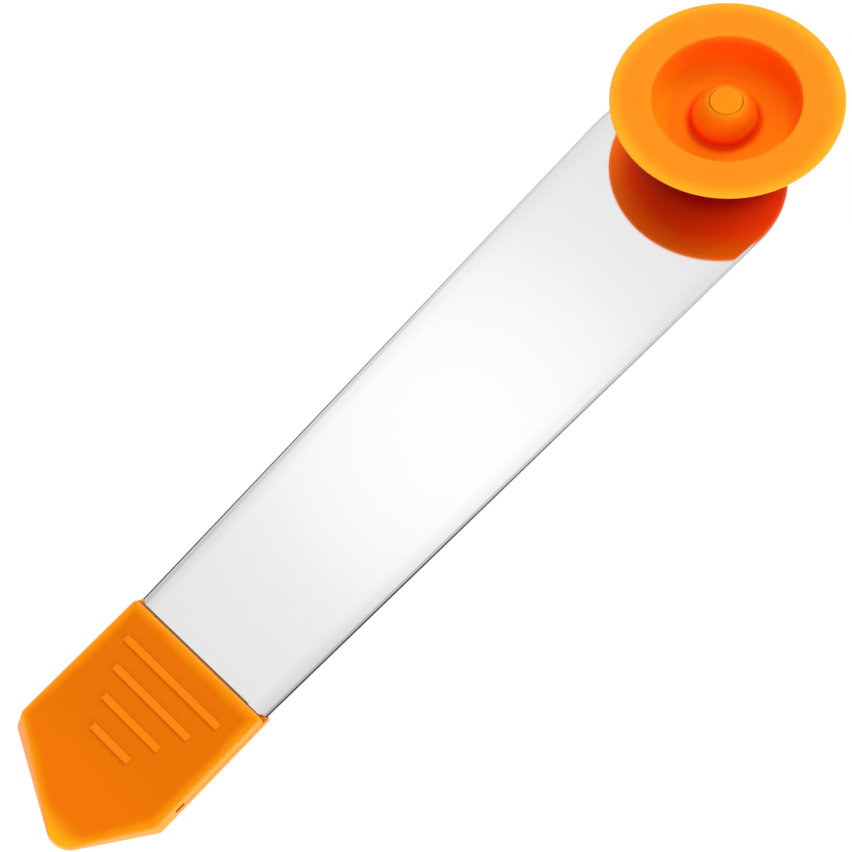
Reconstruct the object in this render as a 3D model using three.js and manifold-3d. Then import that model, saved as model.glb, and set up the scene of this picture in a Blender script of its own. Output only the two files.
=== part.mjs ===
// Flat steel spudger with a moulded pry grip on one end and a suction cup on the other.
//
// Lengths are millimetres. The tool lies flat: +X runs along the blade from the pry tip to the
// suction cup, +Y is across it, and +Z points up out of the cup's mouth. z = 0 is the plane that
// the grip and the rivet head rest on, and x = 0 is halfway between the pry tip and the cup's rim.
// The shapes below are drawn with x = 0 at the grip's rear edge, and the whole tool is then moved.

import * as THREE from 'three';
import * as BufferGeometryUtils from 'three/addons/utils/BufferGeometryUtils.js';
import Module from 'manifold-3d';

const wasm = await Module();
wasm.setup();

// Heights of the stack, from the resting plane up.
const COVER_FLOOR = 0.5; // grip cover under the blade
const BLADE_THICKNESS = 0.45;
const BLADE_TOP = COVER_FLOOR + BLADE_THICKNESS; // also where the cover meets the grip body
const GRIP_HEIGHT = 2.2;

// Grip outline, seen from above. Its pry tip is off centre.
const GRIP_HALF_WIDTH = 11.2;
const LEFT_SHOULDER = 20.2;
const RIGHT_SHOULDER = 17.3;
const TIP_REACH = 27.4; // to the sharp corner, before it is rounded
const TIP_OFFSET = -3.6;
const TIP_RADIUS = 3.6;
const SHOULDER_RADIUS = 1.3;
const REAR_CORNER_RADIUS = 0.5;
const GRIP_CHAMFER = 0.25;
const WEDGE_START = 18.4; // the top face slopes down from here to the tip
const TIP_THICKNESS = 0.8;

// Thumb ribs on the grip's top face.
const RIB_COUNT = 4;
const RIB_WIDTH = 1;
const RIB_HEIGHT = 0.3;
const RIB_FIRST = 4.2;
const RIB_PITCH = 3.27;
const RIB_LONGEST = 16.4;
const RIB_STEP = 3.3; // each rib is this much shorter than the one before

// Cover under the grip, held by two pegs that pass through the blade's tang.
const COVER_LENGTH = 14.4;
const COVER_LIP = 0.6; // how far the cover reaches past the grip body, under the blade
const COVER_CORNER_RADIUS = 0.4;
const PEG_RADIUS = 1.5;
const PEG_X = -7.4;
const PEG_Y = 4.8;
const NOTCH = { length: 1.4, depth: 0.45, height: 0.5 };

// Blade: a tang inside the grip, then a strip that widens to a round end.
const TANG_LENGTH = 13;
const TANG_HALF_WIDTH = 8;
const TANG_CORNER_RADIUS = 1.5;
const BLADE_START = 0.4; // where its long edges begin, just off the grip
const BLADE_START_HALF_WIDTH = 10.85;
const SHOULDER_HALF_WIDTH = 9.9; // where its chamfered shoulders reach the grip's rear edge
const BLADE_END_CENTRE = 87.7;
const BLADE_END_RADIUS = 14.05;

// Suction cup, turned about its own axis. Heights inside it count from the mouth plane.
const CUP_FROM_GRIP = 96.5;
const CUP_RADIUS = 15;
const CUP_HEIGHT = 8.1; // above the blade
const MOUTH_HEIGHT = BLADE_TOP + CUP_HEIGHT;
const RIM = { bevel: 0.2, draft: 0.1, thickness: 0.5 };
const BOWL_RADIUS = 9.6;
const BOWL_DEPTH = 5;
const BOWL_FLOOR_RADIUS = 6.6;
const BELL = { centre: [5.2, -1.2], semiAxes: [5.6, 4.8], from: -38, to: -90 }; // an arc of an ellipse
const FLARE_START_PULL = [-3, -0.7]; // how the curve from rim to bell leaves the rim
const FLARE_END_PULL = 1.6; // and how strongly it runs into the bell
const BOSS_RADIUS = 4.25;
const BOSS_DOME_CENTRE = -4.35;
const BOSS_FILLET = 0.4;
const BOSS_BORE_RADIUS = 2.25;
const BOSS_BORE_DEPTH = 3.9;
const NECK_RADIUS = 3.6;
const NECK_TOP = -6.1;
const NECK_FILLET = 0.4;
const NECK_BORE_RADIUS = 1.75;

// Fasteners on the cup's axis.
const RIVET_HEAD_RADIUS = 3.6;
const RIVET_HEAD_BEVEL = 0.2;
const RIVET_SHANK_RADIUS = 1.6;
const RIVET_UPSET_RADIUS = 1.95;
const RIVET_UPSET_HEIGHT = 0.55;
const RIVET_UPSET_BEVEL = 0.2;
const WASHER_RADIUS = 2.12;
const WASHER_THICKNESS = 0.5;
const PLUG_RADIUS = 2.1;
const PLUG_BOTTOM = -2.5;
const PLUG_BEVEL = 0.15;
const PLUG_EDGE = -0.72; // height of its top edge in the cup, a little above the boss
const PLUG_CROWN = 0.12; // how far its middle rises above that edge

// Gaps between neighbours.
const CLEARANCE = 0.1;
const FACE_GAP = 0.02;
const MARGIN = 5; // how far cutting tools reach past what they cut

const ROUND_SEGMENTS = 64;
const SMALL_ROUND_SEGMENTS = 40;
const ARC_SEGMENTS = 10;
const PROFILE_ARC_SEGMENTS = 8;
const END_ARC_SEGMENTS = 32;

const orangePlastic = new THREE.MeshStandardMaterial({ color: 0xf08418, roughness: 0.42, metalness: 0 });
const orangeRubber = new THREE.MeshStandardMaterial({ color: 0xfb941c, roughness: 0.5, metalness: 0 });
const polishedSteel = new THREE.MeshStandardMaterial({ color: 0xd9dadb, roughness: 0.12, metalness: 1 });
const rivetSteel = new THREE.MeshStandardMaterial({ color: 0xb9bbbe, roughness: 0.3, metalness: 1 });

// ---- Solids -------------------------------------------------------------------------------

function toSolid(geometry) {
  const bare = geometry.clone();
  bare.deleteAttribute('normal');
  bare.deleteAttribute('uv');
  const merged = BufferGeometryUtils.mergeVertices(bare, 1e-5);
  const mesh = new wasm.Mesh({
    numProp: 3,
    vertProperties: new Float32Array(merged.attributes.position.array),
    triVerts: new Uint32Array(merged.index.array),
  });
  return new wasm.Manifold(mesh);
}

function toMesh(name, solid, material) {
  const { vertProperties, triVerts } = solid.getMesh();
  const geometry = new THREE.BufferGeometry();
  geometry.setAttribute('position', new THREE.BufferAttribute(vertProperties, 3));
  geometry.setIndex(new THREE.BufferAttribute(triVerts, 1));
  const faceted = geometry.toNonIndexed();
  faceted.computeVertexNormals();
  const mesh = new THREE.Mesh(faceted, material);
  mesh.name = name;
  return mesh;
}

function box(low, high) {
  const size = high.map((value, axis) => value - low[axis]);
  const centre = high.map((value, axis) => (value + low[axis]) / 2);
  return toSolid(new THREE.BoxGeometry(...size).translate(...centre));
}

function pin(radius, x, y, bottom, top) {
  const geometry = new THREE.CylinderGeometry(radius, radius, top - bottom, SMALL_ROUND_SEGMENTS);
  return toSolid(geometry.rotateX(Math.PI / 2).translate(x, y, (top + bottom) / 2));
}

// A prism of the shape between two heights.
function prism(shape, bottom, top, curveSegments = ARC_SEGMENTS) {
  const options = { depth: top - bottom, bevelEnabled: false, curveSegments };
  return toSolid(new THREE.ExtrudeGeometry(shape, options).translate(0, 0, bottom));
}

// The same, with its top and bottom edges chamfered.
function chamferedPrism(shape, bottom, top, chamfer) {
  const geometry = new THREE.ExtrudeGeometry(shape, {
    depth: top - bottom - 2 * chamfer,
    bevelEnabled: true,
    bevelThickness: chamfer,
    bevelSize: chamfer,
    bevelOffset: -chamfer,
    bevelSegments: 1,
    curveSegments: ARC_SEGMENTS,
  });
  return toSolid(geometry.translate(0, 0, bottom + chamfer));
}

// A profile of [radius, height] points turned about the cup's axis.
function turned(profile, segments) {
  const points = profile.map(([radius, height]) => new THREE.Vector2(radius, height));
  return toSolid(new THREE.LatheGeometry(points, segments).rotateX(Math.PI / 2));
}

// ---- Outlines -----------------------------------------------------------------------------

// A convex outline through [x, y, radius] corners, anticlockwise, each corner rounded.
function roundedShape(corners) {
  const shape = new THREE.Shape();
  corners.forEach(([x, y, radius], i) => {
    const corner = new THREE.Vector2(x, y);
    const toLast = new THREE.Vector2(...corners.at(i - 1)).sub(corner).normalize();
    const toNext = new THREE.Vector2(...corners[(i + 1) % corners.length]).sub(corner).normalize();
    const halfAngle = toLast.angleTo(toNext) / 2;
    const bisector = toLast.clone().add(toNext).normalize();
    const centre = corner.clone().addScaledVector(bisector, radius / Math.sin(halfAngle));
    const tangentReach = radius / Math.tan(halfAngle);
    const start = toLast.multiplyScalar(tangentReach).add(corner).sub(centre);
    const end = toNext.multiplyScalar(tangentReach).add(corner).sub(centre);
    shape.absarc(centre.x, centre.y, radius, start.angle(), end.angle(), false);
  });
  shape.closePath();
  return shape;
}

function circularHole(x, y, radius) {
  const hole = new THREE.Path();
  hole.absarc(x, y, radius, 0, 2 * Math.PI, true);
  return hole;
}

function gripOutline() {
  return roundedShape([
    [0, -GRIP_HALF_WIDTH, REAR_CORNER_RADIUS],
    [0, GRIP_HALF_WIDTH, REAR_CORNER_RADIUS],
    [-LEFT_SHOULDER, GRIP_HALF_WIDTH, SHOULDER_RADIUS],
    [-TIP_REACH, TIP_OFFSET, TIP_RADIUS],
    [-RIGHT_SHOULDER, -GRIP_HALF_WIDTH, SHOULDER_RADIUS],
  ]);
}

// Tang, chamfered shoulders, straight edges, and an arc tangent to both edges.
function bladeOutline() {
  const length = BLADE_END_CENTRE - BLADE_START;
  const reach = Math.hypot(length, BLADE_START_HALF_WIDTH);
  const flare = Math.asin(BLADE_END_RADIUS / reach) - Math.atan2(BLADE_START_HALF_WIDTH, length);
  const arcEnd = Math.PI / 2 + flare;
  const corner = TANG_CORNER_RADIUS;
  const shape = new THREE.Shape();
  shape.moveTo(BLADE_START, BLADE_START_HALF_WIDTH);
  shape.lineTo(FACE_GAP, SHOULDER_HALF_WIDTH);
  shape.lineTo(FACE_GAP, TANG_HALF_WIDTH);
  shape.absarc(-TANG_LENGTH + corner, TANG_HALF_WIDTH - corner, corner, Math.PI / 2, Math.PI, false);
  shape.absarc(-TANG_LENGTH + corner, corner - TANG_HALF_WIDTH, corner, Math.PI, 1.5 * Math.PI, false);
  shape.lineTo(FACE_GAP, -TANG_HALF_WIDTH);
  shape.lineTo(FACE_GAP, -SHOULDER_HALF_WIDTH);
  shape.lineTo(BLADE_START, -BLADE_START_HALF_WIDTH);
  shape.absarc(BLADE_END_CENTRE, 0, BLADE_END_RADIUS, -arcEnd, arcEnd, false);
  shape.closePath();
  return shape;
}

// ---- Sub-parts ----------------------------------------------------------------------------

function blade() {
  const shape = bladeOutline();
  const tangHole = PEG_RADIUS + CLEARANCE;
  shape.holes.push(circularHole(PEG_X, PEG_Y, tangHole));
  shape.holes.push(circularHole(PEG_X, -PEG_Y, tangHole));
  shape.holes.push(circularHole(CUP_FROM_GRIP, 0, RIVET_SHANK_RADIUS + CLEARANCE));
  return prism(shape, COVER_FLOOR, BLADE_TOP, END_ARC_SEGMENTS);
}

// Everything above the grip's sloping top face, from the wedge line to past the tip.
function wedgeCutter() {
  const slope = (GRIP_HEIGHT - TIP_THICKNESS) / (TIP_REACH - WEDGE_START);
  const far = WEDGE_START + 2 * (TIP_REACH - WEDGE_START);
  const side = new THREE.Shape([
    new THREE.Vector2(-WEDGE_START, GRIP_HEIGHT),
    new THREE.Vector2(-WEDGE_START, GRIP_HEIGHT + MARGIN),
    new THREE.Vector2(-far, GRIP_HEIGHT + MARGIN),
    new THREE.Vector2(-far, GRIP_HEIGHT - slope * (far - WEDGE_START)),
  ]);
  const width = 2 * (GRIP_HALF_WIDTH + MARGIN);
  const geometry = new THREE.ExtrudeGeometry(side, { depth: width, bevelEnabled: false });
  return toSolid(geometry.rotateX(Math.PI / 2).translate(0, width / 2, 0));
}

// The room that the tang takes between two heights, open at the grip's rear edge.
function tangPocket(bottom, top) {
  const halfWidth = TANG_HALF_WIDTH + CLEARANCE;
  return box([-TANG_LENGTH - CLEARANCE, -halfWidth, bottom], [MARGIN, halfWidth, top]);
}

function thumbRibs() {
  const ribs = [];
  for (let i = 0; i < RIB_COUNT; i += 1) {
    const x = -RIB_FIRST - i * RIB_PITCH;
    const halfLength = (RIB_LONGEST - i * RIB_STEP) / 2;
    const low = [x - RIB_WIDTH / 2, -halfLength, GRIP_HEIGHT - GRIP_CHAMFER];
    ribs.push(box(low, [x + RIB_WIDTH / 2, halfLength, GRIP_HEIGHT + RIB_HEIGHT]));
  }
  return ribs;
}

// A notch on each side at the end of the seam, where a tool can lift the cover.
function seamNotch(side) {
  const inner = GRIP_HALF_WIDTH - NOTCH.depth;
  const edges = [side * inner, side * (GRIP_HALF_WIDTH + MARGIN)].sort((a, b) => a - b);
  const start = -COVER_LENGTH - CLEARANCE;
  const low = [start, edges[0], BLADE_TOP - CLEARANCE];
  return box(low, [start + NOTCH.length, edges[1], BLADE_TOP + NOTCH.height]);
}

// Top face, thumb ribs and solid pry tip in one moulding, with two pegs underneath.
function gripBody() {
  let body = chamferedPrism(gripOutline(), 0, GRIP_HEIGHT, GRIP_CHAMFER);
  const coverFront = -COVER_LENGTH - CLEARANCE;
  const halfSpan = GRIP_HALF_WIDTH + MARGIN;
  const seam = BLADE_TOP + FACE_GAP;
  body = body.subtract(box([coverFront, -halfSpan, -MARGIN], [MARGIN, halfSpan, seam]));
  body = body.subtract(wedgeCutter());
  for (const side of [-1, 1]) {
    body = body.subtract(seamNotch(side));
    body = body.add(pin(PEG_RADIUS, PEG_X, side * PEG_Y, CLEARANCE, seam + CLEARANCE));
  }
  for (const rib of thumbRibs()) body = body.add(rib);
  return body;
}

// Plate under the tang, level with the underside of the pry tip.
function gripCover() {
  const halfWidth = GRIP_HALF_WIDTH;
  const outline = roundedShape([
    [COVER_LIP, -halfWidth, COVER_CORNER_RADIUS],
    [COVER_LIP, halfWidth, COVER_CORNER_RADIUS],
    [-COVER_LENGTH, halfWidth, COVER_CORNER_RADIUS],
    [-COVER_LENGTH, -halfWidth, COVER_CORNER_RADIUS],
  ]);
  const halfSpan = halfWidth + MARGIN;
  const floor = COVER_FLOOR - FACE_GAP;
  let cover = chamferedPrism(outline, 0, BLADE_TOP + GRIP_CHAMFER, GRIP_CHAMFER);
  cover = cover.subtract(box([-COVER_LENGTH - MARGIN, -halfSpan, BLADE_TOP], [MARGIN, halfSpan, MARGIN]));
  cover = cover.subtract(tangPocket(floor, MARGIN));
  cover = cover.subtract(box([-FACE_GAP, -halfSpan, floor], [MARGIN, halfSpan, MARGIN]));
  for (const side of [-1, 1]) {
    cover = cover.subtract(pin(PEG_RADIUS + CLEARANCE, PEG_X, side * PEG_Y, -MARGIN, MARGIN));
  }
  return cover;
}

// Points along an ellipse about [radius, height], between two angles in degrees.
function ellipseArc(centre, semiAxes, from, to) {
  return Array.from({ length: PROFILE_ARC_SEGMENTS + 1 }, (_, i) => {
    const share = i / PROFILE_ARC_SEGMENTS;
    const angle = THREE.MathUtils.degToRad(THREE.MathUtils.lerp(from, to, share));
    return [centre[0] + semiAxes[0] * Math.cos(angle), centre[1] + semiAxes[1] * Math.sin(angle)];
  });
}

// Points of the soft curve from the rim's underside into the bell around the bowl.
function flare(rimFoot, bell) {
  const start = new THREE.Vector2(...rimFoot);
  const end = new THREE.Vector2(...bell[0]);
  const intoBell = new THREE.Vector2(...bell[1]).sub(end).normalize();
  const startPull = start.clone().add(new THREE.Vector2(...FLARE_START_PULL));
  const endPull = end.clone().addScaledVector(intoBell, -FLARE_END_PULL);
  const curve = new THREE.CubicBezierCurve(start, startPull, endPull, end);
  return curve.getPoints(PROFILE_ARC_SEGMENTS).map((point) => [point.x, point.y]);
}

// Flat flange, bowl, domed boss and short neck in one rubber moulding with a stepped bore.
function suctionCup() {
  const foot = -CUP_HEIGHT + FACE_GAP;
  const bowlWidth = BOWL_RADIUS - BOWL_FLOOR_RADIUS;
  const bowlWall = ellipseArc([BOWL_FLOOR_RADIUS, 0], [bowlWidth, BOWL_DEPTH], -90, 0);
  const filletTop = -BOWL_DEPTH + BOSS_FILLET;
  const boreEdge = Math.acos(BOSS_BORE_RADIUS / BOSS_RADIUS);
  const domeFoot = Math.asin((filletTop - BOSS_DOME_CENTRE) / BOSS_RADIUS);
  const [domeStart, domeEnd] = [boreEdge, domeFoot].map(THREE.MathUtils.radToDeg);
  const bossDome = ellipseArc([0, BOSS_DOME_CENTRE], [BOSS_RADIUS, BOSS_RADIUS], domeStart, domeEnd);
  const bell = ellipseArc(BELL.centre, BELL.semiAxes, BELL.from, BELL.to);
  const rimFoot = [CUP_RADIUS - RIM.draft, -RIM.thickness];
  return turned([
    [BOSS_BORE_RADIUS, -BOSS_BORE_DEPTH],
    ...bossDome,
    [bossDome.at(-1)[0] + BOSS_FILLET, -BOWL_DEPTH],
    ...bowlWall,
    [CUP_RADIUS - RIM.bevel, 0],
    [CUP_RADIUS, -RIM.bevel],
    ...flare(rimFoot, bell),
    ...bell.slice(1),
    [NECK_RADIUS + NECK_FILLET, NECK_TOP],
    [NECK_RADIUS, NECK_TOP - NECK_FILLET],
    [NECK_RADIUS, foot],
    [NECK_BORE_RADIUS, foot],
    [NECK_BORE_RADIUS, -BOSS_BORE_DEPTH],
    [BOSS_BORE_RADIUS, -BOSS_BORE_DEPTH],
  ].reverse(), ROUND_SEGMENTS);
}

// Height of the washer's underside in the cup, and of the rivet's upset end above it.
const WASHER_BOTTOM = -BOSS_BORE_DEPTH + FACE_GAP;
const UPSET_BOTTOM = WASHER_BOTTOM + WASHER_THICKNESS + FACE_GAP;
const UPSET_TOP = UPSET_BOTTOM + RIVET_UPSET_HEIGHT;

// Flat head under the blade, shank up through blade and neck, end spread over the washer.
function cupRivet() {
  const headTop = COVER_FLOOR - FACE_GAP - MOUTH_HEIGHT;
  return turned([
    [0, -MOUTH_HEIGHT],
    [RIVET_HEAD_RADIUS - RIVET_HEAD_BEVEL, -MOUTH_HEIGHT],
    [RIVET_HEAD_RADIUS, -MOUTH_HEIGHT + RIVET_HEAD_BEVEL],
    [RIVET_HEAD_RADIUS, headTop],
    [RIVET_SHANK_RADIUS, headTop],
    [RIVET_SHANK_RADIUS, UPSET_BOTTOM],
    [RIVET_UPSET_RADIUS, UPSET_BOTTOM],
    [RIVET_UPSET_RADIUS, UPSET_TOP - RIVET_UPSET_BEVEL],
    [RIVET_UPSET_RADIUS - RIVET_UPSET_BEVEL, UPSET_TOP],
    [0, UPSET_TOP],
  ], SMALL_ROUND_SEGMENTS);
}

function rivetWasher() {
  const inner = RIVET_SHANK_RADIUS + FACE_GAP;
  const top = WASHER_BOTTOM + WASHER_THICKNESS;
  return turned([
    [inner, WASHER_BOTTOM],
    [WASHER_RADIUS, WASHER_BOTTOM],
    [WASHER_RADIUS, top],
    [inner, top],
    [inner, WASHER_BOTTOM],
  ], SMALL_ROUND_SEGMENTS);
}

// Closes the boss over the rivet, with a slightly crowned top.
function cupPlug() {
  return turned([
    [0, PLUG_BOTTOM],
    [PLUG_RADIUS - PLUG_BEVEL, PLUG_BOTTOM],
    [PLUG_RADIUS, PLUG_BOTTOM + PLUG_BEVEL],
    ...ellipseArc([0, PLUG_EDGE], [PLUG_RADIUS, PLUG_CROWN], 0, 90).slice(0, -1),
    [0, PLUG_EDGE + PLUG_CROWN],
  ], SMALL_ROUND_SEGMENTS);
}

// ---- Assembly -----------------------------------------------------------------------------

const gripEnd = Math.min(...gripOutline().getPoints(ARC_SEGMENTS).map((point) => point.x));
const cupEnd = CUP_FROM_GRIP + CUP_RADIUS;

const tool = new THREE.Group();
tool.position.x = -(gripEnd + cupEnd) / 2;
tool.add(toMesh('blade', blade(), polishedSteel));
tool.add(toMesh('grip_body', gripBody(), orangePlastic));
tool.add(toMesh('grip_cover', gripCover(), orangePlastic));

const cupStack = new THREE.Group();
cupStack.position.set(CUP_FROM_GRIP, 0, MOUTH_HEIGHT);
cupStack.add(toMesh('suction_cup', suctionCup(), orangeRubber));
cupStack.add(toMesh('cup_plug', cupPlug(), orangeRubber));
cupStack.add(toMesh('cup_rivet', cupRivet(), rivetSteel));
cupStack.add(toMesh('rivet_washer', rivetWasher(), rivetSteel));
tool.add(cupStack);

const spudger = new THREE.Group();
spudger.add(tool);

export default spudger;
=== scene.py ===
# Looks of the steel spudger with a plastic pry grip and a rubber suction cup.
# Shapes are drawn in millimetres in one of two places, and then moved into the frame in metres:
# the grip's place has x = 0 at the grip's rear edge, and the cup's place is on the cup's axis with
# height 0 at its mouth.
import math

import bmesh
import bpy
from mathutils import Matrix, Vector


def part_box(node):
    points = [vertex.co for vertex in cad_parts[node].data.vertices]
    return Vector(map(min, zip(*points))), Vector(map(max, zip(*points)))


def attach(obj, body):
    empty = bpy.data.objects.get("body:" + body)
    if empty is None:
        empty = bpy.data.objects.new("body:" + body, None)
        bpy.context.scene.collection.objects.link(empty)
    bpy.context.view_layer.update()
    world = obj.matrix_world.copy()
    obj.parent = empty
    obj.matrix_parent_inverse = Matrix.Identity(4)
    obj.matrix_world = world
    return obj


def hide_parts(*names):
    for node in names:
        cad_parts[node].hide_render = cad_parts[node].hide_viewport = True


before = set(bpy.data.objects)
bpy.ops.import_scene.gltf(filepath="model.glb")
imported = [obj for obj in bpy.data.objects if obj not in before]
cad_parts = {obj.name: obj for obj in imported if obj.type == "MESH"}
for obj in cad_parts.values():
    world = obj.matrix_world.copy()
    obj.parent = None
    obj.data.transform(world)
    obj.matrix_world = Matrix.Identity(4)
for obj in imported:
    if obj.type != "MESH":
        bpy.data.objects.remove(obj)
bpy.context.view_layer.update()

MM = 0.001

# ---- Places and sizes from the frame ---------------------------------------------------------

_, BODY_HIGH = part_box("grip_body")
_, COVER_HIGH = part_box("grip_cover")
BLADE_LOW, BLADE_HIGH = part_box("blade")
CUP_LOW, CUP_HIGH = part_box("suction_cup")
RIVET_LOW, RIVET_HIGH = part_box("cup_rivet")

GRIP_PLACE = Vector((BODY_HIGH.x, 0, 0))
CUP_PLACE = Vector(((CUP_LOW.x + CUP_HIGH.x) / 2, 0, CUP_HIGH.z))
CUP_X = (CUP_PLACE.x - GRIP_PLACE.x) / MM
CUP_RADIUS = (CUP_HIGH.x - CUP_LOW.x) / 2 / MM
CUP_FOOT = (CUP_LOW.z - CUP_HIGH.z) / MM
BLADE_BOTTOM = BLADE_LOW.z / MM
BLADE_TOP = BLADE_HIGH.z / MM
GRIP_HALF_WIDTH = BODY_HIGH.y / MM
COVER_LIP = (COVER_HIGH.x - GRIP_PLACE.x) / MM

# ---- Sizes in millimetres --------------------------------------------------------------------

# Grip outline corners, anticlockwise from above: x, y, radius. The upper outline is smaller, because
# the side walls lean in a little, most of all on the left of the wedge and along the rear edge.
TIP_X = -27.4
GRIP_FOOT = [
    (0, -GRIP_HALF_WIDTH, 0.5),
    (0, GRIP_HALF_WIDTH, 0.5),
    (-20.4, GRIP_HALF_WIDTH, 1.2),
    (TIP_X, -3.6, 3.2),
    (-17.2, -GRIP_HALF_WIDTH, 0.8),
]
GRIP_CROWN = [
    (-0.3, 0.2 - GRIP_HALF_WIDTH, 0.4),
    (-0.3, GRIP_HALF_WIDTH - 0.25, 0.4),
    (-18.9, GRIP_HALF_WIDTH - 0.25, 0.7),
    (TIP_X + 0.12, -3.62, 3.15),
    (-17.25, 0.2 - GRIP_HALF_WIDTH, 0.5),
]
GRIP_TOP = 2.2
TIP_THICKNESS = 0.8
WEDGE_START = -18.4
WEDGE_FOLD = 0.6
WEDGE_FOLD_CUTS = 3  # cuts across the fold, each side of its middle
WEDGE_SLOPE_CUTS = [-21.0, -23.5, -25.5]
TOP_ROUNDING = 0.16
BOTTOM_ROUNDING = 0.15
FLAT_BAND = 0.06  # a narrow flat ring inside each rounded edge, which keeps the shading of the face flat

RIB_COUNT = 4
RIB_X = -4.32
RIB_Y = 0.12
RIB_PITCH = 3.27
RIB_LONGEST = 16.4
RIB_STEP = 3.3
RIB_WIDTH = 1.08
RIB_TOP = BODY_HIGH.z / MM
RIB_CORNER = 0.12
RIB_TOP_ROUNDING = 0.05
RIB_DRAFT = 0.1
RIB_SINK = 0.2

COVER_END = -14.4
COVER_LIP_CORNER = 0.4
COVER_END_CORNER = 0.22
COVER_LEAN = 0.08
COVER_ROOM = 0.03
SEAM_GAP = 0.06
SEAM_ROUNDING = 0.1
NOTCH_LENGTH = 1.4
NOTCH_DEPTH = 0.45
NOTCH_HEIGHT = 0.5
NOTCH_DROP = 0.1
PEG_X = -7.4
PEG_Y = 4.8
PEG_RADIUS = 1.5
PEG_ROOT = 0.3  # how far a peg runs up into the body

TANG_END = -13.0
TANG_HALF_WIDTH = 8.0
TANG_CORNER = 1.5
BLADE_START = 0.4
BLADE_START_HALF_WIDTH = 10.85
SHOULDER_HALF_WIDTH = 9.9
BLADE_END_RADIUS = BLADE_HIGH.y / MM
BLADE_END_REACH = 14.05  # from the round end's centre to its far edge
BLADE_END_CENTRE = (BLADE_HIGH.x - GRIP_PLACE.x) / MM - BLADE_END_REACH
BLADE_LOWER_ROUNDING = 0.06
# The strip's upper edge from outside inwards: how far in, and how far below the top face. A burr line,
# a polished land and a shallow step up to the face. On the left it starts wider, beside the grip.
BLADE_EDGE_STEPS = [(0, 0.1), (0.1, 0.03), (0.32, 0.012), (0.38, 0), (0.5, 0)]
LEFT_EDGE_WIDENING = 2.0
EDGE_UPRIGHT = 0.95  # a face belongs to the cut edge if its normal is less upright than this

BOWL_RADIUS = 9.6
BOWL_DEPTH = 5.0
BOWL_FLOOR_RADIUS = 6.6
BOWL_EDGE_ROUNDING = 0.28
RIM_ROUNDING = 0.22
BOSS_RADIUS = 4.25
BOSS_DOME_CENTRE = -4.47
BOSS_BORE_RADIUS = 2.2
BOSS_BORE_DEPTH = 3.9
BOSS_FILLET = 0.5
FLANGE_RINGS = (12.3, CUP_RADIUS - 1)
BELL_CENTRE = (5.2, -1.2)
BELL_SEMI_AXES = (5.6, 4.8)
BELL_ARC = (-38, -88)
FLARE_START_PULL = Vector((-3.0, -0.7))
FLARE_END_PULL = 1.6
NECK_RADIUS = 3.6
NECK_TOP = -6.1
NECK_FILLET = 0.5
NECK_FOOT_ROUNDING = 0.1
NECK_BORE_RADIUS = 1.75

PLUG_RADIUS = 2.1
PLUG_ROUNDING = 0.12
PLUG_BOTTOM = -2.5
PLUG_EDGE = -0.72
PLUG_CROWN = 0.1
RIVET_HEAD_RADIUS = 3.6
RIVET_SHANK_RADIUS = 1.6
RIVET_UPSET_RADIUS = 1.95
RIVET_UPSET_HEIGHT = 0.55
RIVET_ROUNDING = 0.16
WASHER_OUTER_RADIUS = 2.12
WASHER_INNER_RADIUS = 1.62
WASHER_ROUNDING = 0.06

CLEARANCE = 0.1
FACE_GAP = 0.02
# How far cutting tools reach: past an end or the top, past the sides, past a notch's side, and down to.
PAST_END = 5
PAST_SIDE = 2
PAST_NOTCH = 1
CUT_BOTTOM = -1
COVER_HOLE_TOP = 2
RIVET_HOLE_TOP = 3

# Stage, in metres.
STAGE_RADIUS = 3.0
FLOOR_GAP = 0.00002  # how far the floor lies below the tool

ON_AXIS = 1e-6  # a smaller radius than this is a single point on the axis
TURN_SEGMENTS = 192
DISC_SEGMENTS = 64
SMALL_ARC = 3
FINE_ARC = 6
CORNER_ARC = 12
LONG_ARC = 24
END_ARC = 96


# ---- Mesh helpers ----------------------------------------------------------------------------

def arc(centre, radii, start, end, steps):
    """Points on an ellipse about centre, from one angle to another in degrees."""
    points = []
    for i in range(steps + 1):
        angle = math.radians(start + (end - start) * i / steps)
        points.append((centre[0] + radii[0] * math.cos(angle), centre[1] + radii[1] * math.sin(angle)))
    return points


def sweep(start, start_pull, end_pull, end, steps):
    """Points on a cubic curve, without its first point."""
    start, first, second, end = (Vector(point) for point in (start, start_pull, end_pull, end))
    points = []
    for i in range(1, steps + 1):
        t = i / steps
        u = 1 - t
        near = start * u ** 3 + first * (3 * u * u * t)
        far = second * (3 * u * t * t) + end * t ** 3
        points.append(tuple(near + far))
    return points


def rounded_outline(corners, inset):
    """A convex outline with rounded corners, moved inwards by inset. The point count never changes."""
    points = []
    for i, (x, y, radius) in enumerate(corners):
        corner = Vector((x, y))
        to_last = (Vector(corners[i - 1][:2]) - corner).normalized()
        to_next = (Vector(corners[(i + 1) % len(corners)][:2]) - corner).normalized()
        half_angle = to_last.angle(to_next) / 2
        centre = corner + (to_last + to_next).normalized() * (radius / math.sin(half_angle))
        start = corner + to_last * (radius / math.tan(half_angle)) - centre
        end = corner + to_next * (radius / math.tan(half_angle)) - centre
        turn = start.angle_signed(end)
        for step in range(CORNER_ARC + 1):
            direction = start.copy()
            direction.rotate(Matrix.Rotation(-turn * step / CORNER_ARC, 2))
            points.append(tuple(centre + direction * ((radius - inset) / radius)))
    return points


def add_rings(bm, rings):
    """Joins rings of 3-D points with quads and closes both ends with one face each."""
    loops = [[bm.verts.new(point) for point in ring] for ring in rings]
    for lower, upper in zip(loops, loops[1:]):
        for i in range(len(lower)):
            j = (i + 1) % len(lower)
            bm.faces.new((lower[i], lower[j], upper[j], upper[i]))
    bm.faces.new(reversed(loops[0]))
    bm.faces.new(loops[-1])


def between(foot, crown, share):
    """Outline corners part of the way from the foot to the crown."""
    return [tuple(a + (b - a) * share for a, b in zip(low, high)) for low, high in zip(foot, crown)]


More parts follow.
